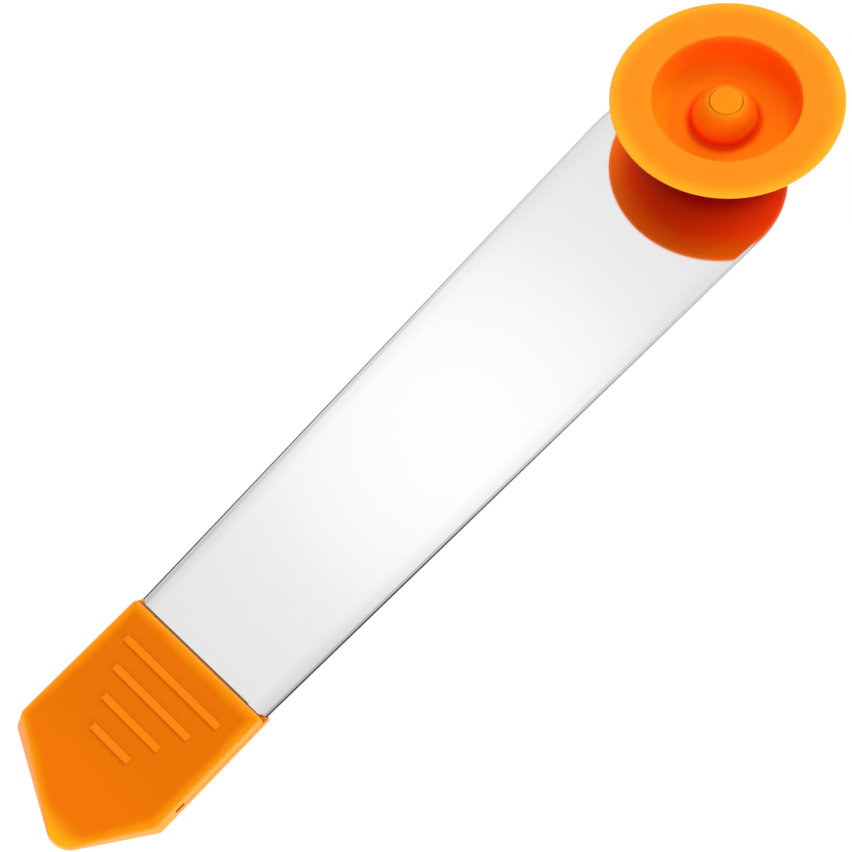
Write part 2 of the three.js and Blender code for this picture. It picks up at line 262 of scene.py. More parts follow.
def prism_rings(foot, crown, bottom, top, bottom_round, top_round, steps=FINE_ARC):
    """Rings of a plate whose upper edge is rounded, and its lower edge too unless bottom_round is 0."""
    levels = [(bottom_round + FLAT_BAND, bottom)]
    if bottom_round:
        centre = (bottom_round, bottom + bottom_round)
        levels += arc(centre, (bottom_round,) * 2, 270, 180, steps)
    else:
        levels.append((0, bottom))
    levels += arc((top_round, top - top_round), (top_round,) * 2, 180, 90, steps)
    levels.append((top_round + FLAT_BAND, top))
    rings = []
    for inset, z in levels:
        corners = between(foot, crown, (z - bottom) / (top - bottom))
        rings.append([(x, y, z) for x, y in rounded_outline(corners, inset)])
    return rings


def turned(profile, segments=TURN_SEGMENTS):
    """A closed mesh, turned from (radius, height) points.

    The profile starts and ends on the axis, or else its last point joins its first.
    """
    bm = bmesh.new()
    columns = []
    for radius, height in profile:
        if radius < ON_AXIS:
            columns.append([bm.verts.new((0, 0, height))])
            continue
        ring = []
        for i in range(segments):
            angle = 2 * math.pi * i / segments
            ring.append(bm.verts.new((radius * math.cos(angle), radius * math.sin(angle), height)))
        columns.append(ring)
    pairs = list(zip(columns, columns[1:]))
    if len(columns[0]) > 1:
        pairs.append((columns[-1], columns[0]))
    for first, second in pairs:
        for i in range(segments):
            j = (i + 1) % segments
            inner = [first[i % len(first)], first[j % len(first)]]
            outer = [second[j % len(second)], second[i % len(second)]]
            bm.faces.new(dict.fromkeys(inner + outer))
    return bm


def box_mesh(low, high):
    """A box between two corners."""
    bm = bmesh.new()
    bmesh.ops.create_cube(bm, size=1)
    centre = (Vector(low) + Vector(high)) / 2
    size = Vector(high) - Vector(low)
    bm.transform(Matrix.Translation(centre) @ Matrix.Diagonal(size).to_4x4())
    return bm


def disc_mesh(x, y, radius, bottom, top):
    """An upright round bar between two heights."""
    bm = bmesh.new()
    circle = arc((x, y), (radius, radius), 0, 360, DISC_SEGMENTS)[:-1]
    add_rings(bm, [[(px, py, z) for px, py in circle] for z in (bottom, top)])
    return bm


def make_object(name, bm):
    """An object made from the mesh, with its faces turned outwards."""
    bmesh.ops.recalc_face_normals(bm, faces=bm.faces)
    mesh = bpy.data.meshes.new(name)
    bm.to_mesh(mesh)
    bm.free()
    piece = bpy.data.objects.new(name, mesh)
    bpy.context.scene.collection.objects.link(piece)
    return piece


def apply_modifiers(piece):
    """Makes the result of piece's modifiers its own mesh."""
    depsgraph = bpy.context.evaluated_depsgraph_get()
    mesh = bpy.data.meshes.new_from_object(piece.evaluated_get(depsgraph))
    piece.modifiers.clear()
    old = piece.data
    piece.data = mesh
    bpy.data.meshes.remove(old)
    mesh.name = piece.name


def combine(piece, tool_bm, operation):
    """Joins a second solid to piece, or cuts it out of it."""
    tool = make_object("tool", tool_bm)
    modifier = piece.modifiers.new("combine", "BOOLEAN")
    modifier.operation = operation
    modifier.solver = "EXACT"
    modifier.object = tool
    apply_modifiers(piece)
    bpy.data.meshes.remove(tool.data)


def soften(piece, width, angle=50):
    """Rounds every edge of piece that is sharper than angle."""
    modifier = piece.modifiers.new("soften", "BEVEL")
    modifier.width = width
    modifier.segments = 2
    modifier.limit_method = "ANGLE"
    modifier.angle_limit = math.radians(angle)
    modifier.use_clamp_overlap = True
    apply_modifiers(piece)


def place(piece, origin, smooth_angle=32):
    """Moves a mesh drawn in millimetres to its place in the frame, and shades it."""
    piece.data.transform(Matrix.Translation(origin) @ Matrix.Scale(MM, 4))
    piece.data.shade_smooth()
    piece.data.set_sharp_from_angle(angle=math.radians(smooth_angle))


def settle(piece, material, body, slot, *nodes):
    """Gives a piece its material, hangs it on the body it rides on, and hides the parts it replaces."""
    piece.data.materials.append(material)
    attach(piece, body)
    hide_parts(*nodes)


# ---- Material helpers ------------------------------------------------------------------------

class Graph:
    """A short way to write a material's nodes."""

    def __init__(self, name):
        self.material = bpy.data.materials.new(name)
        self.material.use_nodes = True
        self.tree = self.material.node_tree
        self.shader = self.tree.nodes["Principled BSDF"]

    def add(self, kind, inputs=None, **settings):
        """A new node with its settings, and with values or links for its inputs."""
        node = self.tree.nodes.new(kind)
        for key, value in settings.items():
            setattr(node, key, value)
        for key, value in (inputs or {}).items():
            self.feed(node.inputs[key], value)
        return node

    def feed(self, socket, value):
        """Links a socket to the value, or sets it."""
        if isinstance(value, bpy.types.NodeSocket):
            self.tree.links.new(value, socket)
        else:
            socket.default_value = value

    def set(self, **inputs):
        """Feeds the shader's own inputs, named with underscores for spaces."""
        for key, value in inputs.items():
            self.feed(self.shader.inputs[key.replace("_", " ")], value)

    def position(self, origin):
        """Position on the object in millimetres from origin."""
        coordinates = self.add("ShaderNodeTexCoord")
        ends = {0: coordinates.outputs["Object"], 1: origin}
        moved = self.add("ShaderNodeVectorMath", ends, operation="SUBTRACT")
        scaled = self.add("ShaderNodeVectorMath", {0: moved.outputs[0]}, operation="SCALE")
        scaled.inputs["Scale"].default_value = 1 / MM
        return scaled.outputs[0]

    def math(self, operation, first, second=0.0):
        """One step of arithmetic on numbers or sockets."""
        return self.add("ShaderNodeMath", {0: first, 1: second}, operation=operation).outputs[0]

    def dot(self, first, second):
        """How far one vector reaches along another."""
        ends = {0: first, 1: second}
        return self.add("ShaderNodeVectorMath", ends, operation="DOT_PRODUCT").outputs["Value"]

    def split(self, vector):
        """The x, y and z of a vector."""
        return self.add("ShaderNodeSeparateXYZ", {0: vector}).outputs

    def length(self, x, y):
        """Distance from the axis of a point x and y away from it."""
        squares = self.math("ADD", self.math("MULTIPLY", x, x), self.math("MULTIPLY", y, y))
        return self.math("SQRT", squares)

    def ramp(self, value, low, high, to_low=0.0, to_high=1.0):
        """A smooth step as value goes from low to high."""
        node = self.add("ShaderNodeMapRange", {"Value": value}, interpolation_type="SMOOTHSTEP")
        for key, number in (("From Min", low), ("From Max", high), ("To Min", to_low), ("To Max", to_high)):
            node.inputs[key].default_value = number
        return node.outputs["Result"]

    def mix(self, factor, first, second):
        """A mix of two colours."""
        node = self.add("ShaderNodeMixRGB", {"Fac": factor, "Color1": first, "Color2": second})
        return node.outputs["Color"]

    def noise(self, vector, scale, detail=2.0, roughness=0.5):
        """Noise from 0 to 1; scale is in cycles per millimetre."""
        node = self.add("ShaderNodeTexNoise", {"Vector": vector})
        node.inputs["Scale"].default_value = scale
        node.inputs["Detail"].default_value = detail
        node.inputs["Roughness"].default_value = roughness
        return node.outputs["Fac"]

    def bump(self, height, depth):
        """Bump whose height of 1 stands for depth millimetres."""
        node = self.add("ShaderNodeBump", {"Height": height})
        node.inputs["Strength"].default_value = 1.0
        node.inputs["Distance"].default_value = depth * MM
        return node.outputs["Normal"]


# ---- Materials -------------------------------------------------------------------------------

PLASTIC = (0.76, 0.155, 0.001, 1)
PLASTIC_WEDGE = (0.81, 0.165, 0.001, 1)
# Painted light and shade: the edge glow (also used for random specks), the rib-top and top-edge highlights,
# the tip glow and the seam's shade.
PLASTIC_PAINTED_GLOW_AND_SPECKS = (0.90, 0.30, 0.002, 1)
PLASTIC_RIB_PAINTED_HIGHLIGHT = (0.90, 0.225, 0.005, 1)
PLASTIC_PAINTED_EDGE_HIGHLIGHT = (0.97, 0.33, 0.03, 1)
PLASTIC_PAINTED_TIP_GLOW = (0.98, 0.46, 0.006, 1)
SEAM_PAINTED_SHADE = (0.30, 0.05, 0.005, 1)
RUBBER_FLANGE = (0.96, 0.27, 0.010, 1)
# Painted light and shade: the rim's glow, the bowl's lit and shaded wall, and the redder boss, crease and
# underside.
RUBBER_PAINTED_RIM_GLOW = (0.96, 0.41, 0.016, 1)
RUBBER_BOWL_PAINTED_SHADE = (0.98, 0.10, 0.001, 1)
RUBBER_BOWL_PAINTED_LIGHT = (0.98, 0.29, 0.003, 1)
RUBBER_BOSS_PAINTED_SHADE = (0.96, 0.17, 0.001, 1)
RUBBER_PLUG = (0.97, 0.27, 0.006, 1)
RUBBER_CREASE_PAINTED_SHADE = (0.78, 0.02, 0.001, 1)
RUBBER_UNDER_PAINTED_SHADE = (0.38, 0.0015, 0.001, 1)
RUBBER_UNDER_MIDDLE_PAINTED_SHADE = (0.80, 0.036, 0.001, 1)
RUBBER_UNDER_RIM_PAINTED_SHADE = (1.0, 0.18, 0.002, 1)
GLOSS_TINT = (1.0, 0.40, 0.02, 1)
STEEL_FACE = (0.875, 0.875, 0.875, 1)
# Painted shade: the steel's long edges and the brown line where it enters the grip.
STEEL_PAINTED_SHADE = (0.70, 0.70, 0.705, 1)
SLOT_PAINTED_SHADE = (0.28, 0.12, 0.03, 1)
EDGE_DARK = (0.035, 0.034, 0.033, 1)
EDGE_BRIGHT = (0.78, 0.78, 0.78, 1)
RIVET_DARK = (0.42, 0.42, 0.43, 1)
RIVET_LIGHT = (0.6, 0.6, 0.61, 1)

GRAIN_DEPTH = 0.005  # of the plastic and the rubber, in millimetres
# Painted light: the direction that the bowl's wall is painted paler towards.
PAINTED_BOWL_LIGHT_DIRECTION = (0.8, 0.1, 0.8)  # the bowl's wall is paler where it faces this way


def distance_from_outline(graph, position):
    """Distance in millimetres from the grip's outline, measured inwards from above."""
    nearest = None
    for i, (x, y, _) in enumerate(GRIP_CROWN):
        next_x, next_y, _ = GRIP_CROWN[(i + 1) % len(GRIP_CROWN)]
        along = Vector((next_x - x, next_y - y, 0)).normalized()
        inward = Vector((-along.y, along.x, 0))
        distance = graph.math("SUBTRACT", graph.dot(position, inward), inward.dot(Vector((x, y, 0))))
        nearest = distance if nearest is None else graph.math("SMOOTH_MIN", nearest, distance)
    return nearest


def plastic_material():
    """Satin moulded plastic with fine grain.

    Painted highlights lighten the rib tops and the top edges, a painted glow lightens the thin tip and
    the band along its edges, and painted shade darkens the seam.
    """
    graph = Graph("moulded_orange_plastic")
    position = graph.position(GRIP_PLACE)
    x, _, z = graph.split(position)
    clouds = graph.noise(position, 0.16, 3.0)
    grain = graph.noise(position, 5.0, 3.0, 0.6)
    blotches = graph.math("MULTIPLY", graph.math("SUBTRACT", clouds, 0.5), 1.2)
    inside = distance_from_outline(graph, position)
    base = graph.mix(graph.ramp(x, -12.0, -21.0), PLASTIC, PLASTIC_WEDGE)
    # Painted glow: lighter within about 1.5 mm of the outline, in patches.
    painted_edge_glow = graph.ramp(graph.math("ADD", inside, blotches), 1.5, 0.1, 0.0, 0.85)
    base = graph.mix(painted_edge_glow, base, PLASTIC_PAINTED_GLOW_AND_SPECKS)
    # Painted highlight: the rib tops are lighter.
    base = graph.mix(graph.ramp(z, GRIP_TOP + 0.1, RIB_TOP - 0.03, 0.0, 0.9), base, PLASTIC_RIB_PAINTED_HIGHLIGHT)
    # Painted glow: lighter towards the thin tip.
    base = graph.mix(graph.ramp(x, -23.0, -27.0), base, PLASTIC_PAINTED_TIP_GLOW)
    # Random lighter specks, in the edge glow's colour.
    specks = graph.ramp(graph.noise(position, 2.6, 1.0), 0.66, 0.72, 0.0, 0.12)
    base = graph.mix(specks, base, PLASTIC_PAINTED_GLOW_AND_SPECKS)
    # Painted highlight along the rounded top edges.
    base = graph.mix(graph.ramp(inside, 0.32, 0.12), base, PLASTIC_PAINTED_EDGE_HIGHLIGHT)
    # Painted shade in the seam's gap, along the cover.
    off_seam = graph.math("ABSOLUTE", graph.math("SUBTRACT", z, BLADE_TOP + SEAM_GAP / 2))
    over_cover = graph.ramp(x, COVER_END - 0.1, COVER_END + 0.1)
    seam = graph.math("MULTIPLY", graph.ramp(off_seam, 0.14, 0.05), over_cover)
    base = graph.mix(graph.math("MULTIPLY", seam, 0.75), base, SEAM_PAINTED_SHADE)
    upright = graph.split(graph.add("ShaderNodeNewGeometry").outputs["Normal"])["Z"]
    graph.set(
        Base_Color=base,
        Roughness=graph.ramp(grain, 0.3, 0.7, 0.34, 0.46),
        Specular_IOR_Level=graph.ramp(upright, 0.3, 0.9, 0.15, 0.4),
        Specular_Tint=GLOSS_TINT,
        Normal=graph.bump(grain, GRAIN_DEPTH),
    )
    return graph.material


def rubber_material():
    """Soft silicone rubber.

    A painted glow makes it yellow where the flange runs out thin. Painted light and shade colour the
    bowl's wall by which way it faces, and painted shade makes the boss and the crease beside it redder
    and the underside deep red.
    """
    graph = Graph("silicone_rubber")
    position = graph.position(CUP_PLACE)
    x, y, z = graph.split(position)
    radius = graph.length(x, y)
    clouds = graph.noise(position, 0.12, 3.0)
    grain = graph.noise(position, 3.5, 4.0, 0.6)
    drift = graph.math("MULTIPLY", graph.math("SUBTRACT", clouds, 0.5), 1.6)
    # Painted glow: yellower towards the flange's thin rim.
    thin = graph.math("ADD", radius, drift)
    base = graph.mix(graph.ramp(thin, CUP_RADIUS - 2.2, CUP_RADIUS), RUBBER_FLANGE, RUBBER_PAINTED_RIM_GLOW)
    normal = graph.add("ShaderNodeNewGeometry").outputs["Normal"]
    upright = graph.split(normal)["Z"]
    # Painted light and shade in the bowl: its wall is paler where it faces one way and redder where it
    # faces away.
    facing = graph.ramp(graph.dot(normal, PAINTED_BOWL_LIGHT_DIRECTION), -0.45, 0.9)
    painted_lit = graph.math("MULTIPLY", facing, graph.ramp(upright, 1.0, 0.75, 0.6, 1.0))
    bowl = graph.mix(painted_lit, RUBBER_BOWL_PAINTED_SHADE, RUBBER_BOWL_PAINTED_LIGHT)
    base = graph.mix(graph.ramp(radius, BOWL_RADIUS + 0.12, BOWL_RADIUS - 0.12), base, bowl)
    # Painted shade: the boss is redder than the flange.
    base = graph.mix(graph.ramp(radius, BOSS_RADIUS + 0.3, BOSS_RADIUS - 0.5), base, RUBBER_BOSS_PAINTED_SHADE)
    # Painted shade in the crease around the boss's foot.
    beside_boss = graph.ramp(radius, BOSS_RADIUS + 1.3, BOSS_RADIUS + 0.3)
    crease = graph.math("MULTIPLY", beside_boss, graph.ramp(z, -BOWL_DEPTH + 1.7, -BOWL_DEPTH + 0.3))
    base = graph.mix(graph.math("MULTIPLY", crease, 0.85), base, RUBBER_CREASE_PAINTED_SHADE)
    base = graph.mix(graph.ramp(radius, BOSS_BORE_RADIUS + 0.9, BOSS_BORE_RADIUS - 0.1), base, RUBBER_PLUG)
    # Painted shade underneath: deep red in the middle, lighter towards the rim, and less glossy.
    under = graph.mix(graph.ramp(radius, 8.0, 12.5), RUBBER_UNDER_PAINTED_SHADE, RUBBER_UNDER_MIDDLE_PAINTED_SHADE)
    under = graph.mix(graph.ramp(radius, 11.5, CUP_RADIUS + 0.4), under, RUBBER_UNDER_RIM_PAINTED_SHADE)
    base = graph.mix(graph.ramp(upright, -0.02, -0.4), base, under)
    graph.set(
        Base_Color=base,
        Roughness=graph.ramp(grain, 0.3, 0.7, 0.4, 0.52),
        Subsurface_Weight=0.35,
        Subsurface_Radius=(2.5, 0.3, 0.05),
        Subsurface_Scale=1.0 * MM,
        Specular_IOR_Level=graph.ramp(upright, -0.02, -0.4, 0.4, 0.05),
        Specular_Tint=GLOSS_TINT,
        Normal=graph.bump(grain, GRAIN_DEPTH),
    )
    return graph.material


def steel_material():
    """Mirror-polished spring steel, with rolling marks along it.

    Painted shade darkens it along its long edges, more so towards the grip, and in a brown line where it
    enters the grip. It has fine specks near the grip.
    """
    graph = Graph("polished_spring_steel")
    position = graph.position(GRIP_PLACE)
    x, y, z = graph.split(position)
    stretched = {0: graph.math("MULTIPLY", x, 0.06), 1: y, 2: z}
    rolling = graph.noise(graph.add("ShaderNodeCombineXYZ", stretched).outputs[0], 4.0, 3.0)
    specks = graph.noise(position, 4.5, 2.0)
    near_grip = graph.ramp(x, 45.0, 0.0)
    taper = (BLADE_END_RADIUS - BLADE_START_HALF_WIDTH) / (BLADE_END_CENTRE - BLADE_START)
    half_width = graph.math("MULTIPLY_ADD", x, taper)
    half_width.node.inputs[2].default_value = BLADE_START_HALF_WIDTH
    across = graph.math("DIVIDE", graph.math("ABSOLUTE", y), half_width)
    # Painted shade: darker towards the long edges, most near the grip.
    dull = graph.math("MULTIPLY", graph.ramp(across, 0.76, 1.0), graph.ramp(x, 60.0, 0.0, 0.4, 0.85))
    colour = graph.mix(dull, STEEL_FACE, STEEL_PAINTED_SHADE)
    # Painted shade: a brown line where the steel enters the grip.
    slot = graph.math("MULTIPLY", graph.ramp(y, -8.3, -7.9), graph.ramp(y, 10.1, 9.7))
    slot_shade = graph.math("MULTIPLY", graph.ramp(x, 0.16, 0.07), slot)
    colour = graph.mix(slot_shade, colour, SLOT_PAINTED_SHADE)
    speck_height = graph.math("MULTIPLY", graph.ramp(specks, 0.62, 0.75), near_grip)
    rolling_height = graph.math("MULTIPLY", rolling, 0.05)
    height = graph.math("ADD", rolling_height, graph.math("MULTIPLY", speck_height, 0.45))
    graph.set(
        Base_Color=colour,
        Metallic=1.0,
        Roughness=graph.ramp(rolling, 0.3, 0.7, 0.05, 0.075),
        Normal=graph.bump(height, 0.0012),
    )
    return graph.material


def sheared_edge_material():
    """The strip's cut edge: dull and dark by the grip, brighter towards the round end."""
    graph = Graph("sheared_steel_edge")
    position = graph.position(GRIP_PLACE)
    x = graph.split(position)["X"]
    streaks = graph.noise(position, 3.0, 3.0)
    # Darker towards the grip and lighter towards the round end, streaked.
    streaked_x = graph.math("ADD", x, graph.math("MULTIPLY", streaks, 14.0))
    graph.set(
        Base_Color=graph.mix(graph.ramp(streaked_x, 30.0, 98.0), EDGE_DARK, EDGE_BRIGHT),
        Metallic=1.0,
        Roughness=graph.ramp(streaks, 0.3, 0.7, 0.3, 0.5),
        Normal=graph.bump(streaks, 0.01),
    )
    return graph.material


def rivet_material():
    """Plain turned steel with fine rings about the rivet's axis."""
    graph = Graph("turned_rivet_steel")
    position = graph.position(CUP_PLACE)
    x, y, z = graph.split(position)
    lines = graph.add("ShaderNodeCombineXYZ", {0: graph.length(x, y), 2: z}).outputs[0]
    rings = graph.noise(lines, 12.0, 2.0)
    clouds = graph.noise(position, 0.8, 3.0)
    graph.set(
        Base_Color=graph.mix(clouds, RIVET_DARK, RIVET_LIGHT),
        Metallic=1.0,
        Roughness=graph.ramp(rings, 0.3, 0.7, 0.24, 0.36),
        Normal=graph.bump(rings, 0.004),
    )
    return graph.material


# ---- Pieces ----------------------------------------------------------------------------------

def wedge_height(x):
    """Height of the grip's top face at x: level, then sloping to the tip past a soft fold."""
    slope = (GRIP_TOP - TIP_THICKNESS) / (WEDGE_START - TIP_X)
    past = WEDGE_START - x
    if past <= -WEDGE_FOLD:
        return GRIP_TOP
    if past >= WEDGE_FOLD:
        return GRIP_TOP - slope * past
    return GRIP_TOP - slope * (past + WEDGE_FOLD) ** 2 / (4 * WEDGE_FOLD)


def slope_the_wedge(bm):
    """Cuts the moulding across where it folds, and squeezes its height towards the tip."""
    steps = range(-WEDGE_FOLD_CUTS, WEDGE_FOLD_CUTS + 1)
    fold_cuts = [WEDGE_START + WEDGE_FOLD * step / WEDGE_FOLD_CUTS for step in steps]
    for x in fold_cuts + WEDGE_SLOPE_CUTS:
        everything = bm.verts[:] + bm.edges[:] + bm.faces[:]
        bmesh.ops.bisect_plane(bm, geom=everything, plane_co=(x, 0, 0), plane_no=(1, 0, 0), dist=1e-5)
    for vertex in bm.verts:
        vertex.co.z *= wedge_height(vertex.co.x) / GRIP_TOP


def thumb_rib(index):
    """One raised bar with drafted sides and rounded top edges, sunk a little into the top face."""
    half_length = (RIB_LONGEST - index * RIB_STEP) / 2
    x = RIB_X - index * RIB_PITCH
    back, front = x + RIB_WIDTH / 2, x - RIB_WIDTH / 2
    low, high = RIB_Y - half_length, RIB_Y + half_length
    foot = [
        (back, low, RIB_CORNER),
        (back, high, RIB_CORNER),
        (front, high, RIB_CORNER),
        (front, low, RIB_CORNER),
    ]
    crown = [
        (back - RIB_DRAFT, low + RIB_DRAFT, RIB_CORNER),
        (back - RIB_DRAFT, high - RIB_DRAFT, RIB_CORNER),
        (front + RIB_DRAFT, high - RIB_DRAFT, RIB_CORNER),
        (front + RIB_DRAFT, low + RIB_DRAFT, RIB_CORNER),
    ]
    bm = bmesh.new()
    add_rings(bm, prism_rings(foot, crown, GRIP_TOP - RIB_SINK, RIB_TOP, 0, RIB_TOP_ROUNDING, SMALL_ARC))
    return bm


def seam_notch(side):
    """The cut at the end of the seam, on the left for a side of 1 and on the right for -1."""
    inner = GRIP_HALF_WIDTH - NOTCH_DEPTH
    outer = GRIP_HALF_WIDTH + PAST_NOTCH
    edges = sorted((side * inner, side * outer))
    start = COVER_END - COVER_ROOM
    low = (start, edges[0], BLADE_TOP - NOTCH_DROP)
    return box_mesh(low, (start + NOTCH_LENGTH, edges[1], BLADE_TOP + NOTCH_HEIGHT))


def grip_moulding(material):
    """The grip's body: top face, ribs and pry tip, hollow below for the cover, with two pegs."""
    bm = bmesh.new()
    add_rings(bm, prism_rings(GRIP_FOOT, GRIP_CROWN, 0, GRIP_TOP, BOTTOM_ROUNDING, TOP_ROUNDING))
    slope_the_wedge(bm)
    piece = make_object("grip_moulding", bm)
    span = GRIP_HALF_WIDTH + PAST_SIDE
    room_low = (COVER_END - COVER_ROOM, -span, CUT_BOTTOM)
    combine(piece, box_mesh(room_low, (PAST_END, span, BLADE_TOP + SEAM_GAP)), "DIFFERENCE")
    for side in (-1, 1):
        combine(piece, seam_notch(side), "DIFFERENCE")
    soften(piece, 0.05)
    for index in range(RIB_COUNT):
        combine(piece, thumb_rib(index), "UNION")
    for side in (-1, 1):
        peg = disc_mesh(PEG_X, side * PEG_Y, PEG_RADIUS, CLEARANCE, BLADE_TOP + PEG_ROOT)
        combine(piece, peg, "UNION")
    place(piece, GRIP_PLACE)
    settle(piece, material, "tool", "orange_plastic", "grip_body")
    return piece


def cover_plate(material):
    """The plate under the tang, with a pocket for the tang and two holes for the pegs."""
    foot = [
        (COVER_LIP, -GRIP_HALF_WIDTH, COVER_LIP_CORNER),
        (COVER_LIP, GRIP_HALF_WIDTH, COVER_LIP_CORNER),
        (COVER_END, GRIP_HALF_WIDTH, COVER_END_CORNER),
        (COVER_END, -GRIP_HALF_WIDTH, COVER_END_CORNER),
    ]
    crown = [(x, math.copysign(GRIP_HALF_WIDTH - COVER_LEAN, y), radius) for x, y, radius in foot]
    bm = bmesh.new()
    add_rings(bm, prism_rings(foot, crown, 0, BLADE_TOP, BOTTOM_ROUNDING, SEAM_ROUNDING))
    piece = make_object("grip_cover_plate", bm)
    span = GRIP_HALF_WIDTH + PAST_SIDE
    floor = BLADE_BOTTOM - FACE_GAP
    room = TANG_HALF_WIDTH + CLEARANCE
    pocket_low = (TANG_END - CLEARANCE, -room, floor)
    combine(piece, box_mesh(pocket_low, (PAST_END, room, PAST_END)), "DIFFERENCE")
    combine(piece, box_mesh((0, -span, floor), (PAST_END, span, PAST_END)), "DIFFERENCE")
    for side in (-1, 1):
        hole_radius = PEG_RADIUS + CLEARANCE
        hole = disc_mesh(PEG_X, side * PEG_Y, hole_radius, CUT_BOTTOM, COVER_HOLE_TOP)
        combine(piece, hole, "DIFFERENCE")
    soften(piece, 0.04)
    place(piece, GRIP_PLACE)
    settle(piece, material, "tool", "orange_plastic", "grip_cover")
    return piece


def blade_side(inset, widening=1.0):
    """The left side of the strip's outline, from the tang's end to the middle of the round end.

    At the shoulder its edge lies widening times as far in as elsewhere.
    """
    length = BLADE_END_CENTRE - BLADE_START
    reach = math.hypot(length, BLADE_START_HALF_WIDTH)
    flare = math.degrees(math.asin(BLADE_END_RADIUS / reach) - math.atan2(BLADE_START_HALF_WIDTH, length))
    tang_centre = (TANG_END + TANG_CORNER, TANG_HALF_WIDTH - TANG_CORNER)
    tang_radius = TANG_CORNER - inset
    far_radius = BLADE_END_RADIUS - inset
    side = arc(tang_centre, (tang_radius,) * 2, 180, 90, FINE_ARC)
    side += [
        (0, TANG_HALF_WIDTH - inset),
        (0, SHOULDER_HALF_WIDTH),
        (BLADE_START, BLADE_START_HALF_WIDTH - inset * widening),
    ]
    side += arc((BLADE_END_CENTRE, 0), (far_radius,) * 2, 90 + flare, 0, END_ARC // 2)
    return side


def blade_ring(inset, z):
    """The strip's whole outline at one height, moved inwards by inset."""
    left = blade_side(inset, LEFT_EDGE_WIDENING)
    right = [(x, -y) for x, y in reversed(blade_side(inset)[:-1])]
    return [(x, y, z) for x, y in left + right]


def blade_strip(material, edge_material):
    """The steel strip, with its own material on the cut edges past the shoulders."""
    rounding = BLADE_LOWER_ROUNDING
    levels = [(2 * rounding, BLADE_BOTTOM), (rounding, BLADE_BOTTOM), (0, BLADE_BOTTOM + rounding)]
    levels += [(inset, BLADE_TOP - drop) for inset, drop in BLADE_EDGE_STEPS]
    bm = bmesh.new()
    add_rings(bm, [blade_ring(inset, z) for inset, z in levels])
    piece = make_object("blade_strip", bm)
    hole_radius = RIVET_SHANK_RADIUS + CLEARANCE
    combine(piece, disc_mesh(CUP_X, 0, hole_radius, CUT_BOTTOM, RIVET_HOLE_TOP), "DIFFERENCE")
    place(piece, GRIP_PLACE, 20)
    settle(piece, material, "tool", "polished_steel", "blade")
    piece.data.materials.append(edge_material)
    for face in piece.data.polygons:
        past_shoulders = (face.center.x - GRIP_PLACE.x) / MM > BLADE_START
        if past_shoulders and abs(face.normal.z) < EDGE_UPRIGHT:
            face.material_index = 1
    return piece


def cup_profile():
    """Right half of the rubber's section, as (radius, height) from the mouth plane."""
    edge = BOWL_EDGE_ROUNDING
    rim = RIM_ROUNDING
    bore_edge = math.degrees(math.acos(BOSS_BORE_RADIUS / BOSS_RADIUS))
    dome_foot = math.degrees(math.asin((BOSS_FILLET - BOWL_DEPTH - BOSS_DOME_CENTRE) / BOSS_RADIUS))
    points = [(BOSS_BORE_RADIUS, -BOSS_BORE_DEPTH)]
    points += arc((0, BOSS_DOME_CENTRE), (BOSS_RADIUS,) * 2, bore_edge, dome_foot, LONG_ARC)
    foot_radius = points[-1][0]
    fillet_centre = (foot_radius + BOSS_FILLET, -BOWL_DEPTH + BOSS_FILLET)
    points += arc(fillet_centre, (BOSS_FILLET,) * 2, 180, 270, FINE_ARC)
    wall_width = BOWL_RADIUS - BOWL_FLOOR_RADIUS
    points += arc((BOWL_FLOOR_RADIUS, 0), (wall_width, BOWL_DEPTH), 270, 355, LONG_ARC)
    points += arc((BOWL_RADIUS + edge, -edge), (edge, edge), 170, 90, FINE_ARC)
    points += [(radius, 0) for radius in FLANGE_RINGS]
    points += arc((CUP_RADIUS - rim, -rim), (rim, rim), 90, -60, CORNER_ARC)
    bell = arc(BELL_CENTRE, BELL_SEMI_AXES, *BELL_ARC, LONG_ARC)
    start, end = Vector(points[-1]), Vector(bell[0])
    end_pull = (end - Vector(bell[1])).normalized() * FLARE_END_PULL
    points += sweep(start, start + FLARE_START_PULL, end + end_pull, end, LONG_ARC)
    points += bell[1:]
    neck_centre = (NECK_RADIUS + NECK_FILLET, NECK_TOP - NECK_FILLET)
    points += arc(neck_centre, (NECK_FILLET,) * 2, 90, 180, FINE_ARC)
    foot = NECK_FOOT_ROUNDING
    points += arc((NECK_RADIUS - foot, CUP_FOOT + foot), (foot, foot), 0, -90, 4)
    points += [(NECK_BORE_RADIUS, CUP_FOOT), (NECK_BORE_RADIUS, -BOSS_BORE_DEPTH)]
    return points


def rubber_cup(material):
    """The suction cup's one rubber moulding."""
    piece = make_object("rubber_cup", turned(cup_profile()))
    place(piece, CUP_PLACE)
    settle(piece, material, "cup", "orange_rubber", "suction_cup")
    return piece


def boss_plug(material):
    """The plug in the top of the boss, with a slightly crowned face."""
    rounding = PLUG_ROUNDING
    crown = arc((0, PLUG_EDGE), (PLUG_RADIUS, PLUG_CROWN), 12, 90, LONG_ARC)
    profile = [(0, PLUG_BOTTOM)]
    profile += arc((PLUG_RADIUS - rounding, PLUG_BOTTOM + rounding), (rounding,) * 2, -90, 0, 4)
    profile += [(PLUG_RADIUS, PLUG_EDGE - rounding)]
    profile += crown[:-1] + [(0, PLUG_EDGE + PLUG_CROWN)]
    piece = make_object("boss_plug", turned(profile))
    place(piece, CUP_PLACE, 50)
    settle(piece, material, "cup", "orange_rubber", "cup_plug")
    return piece


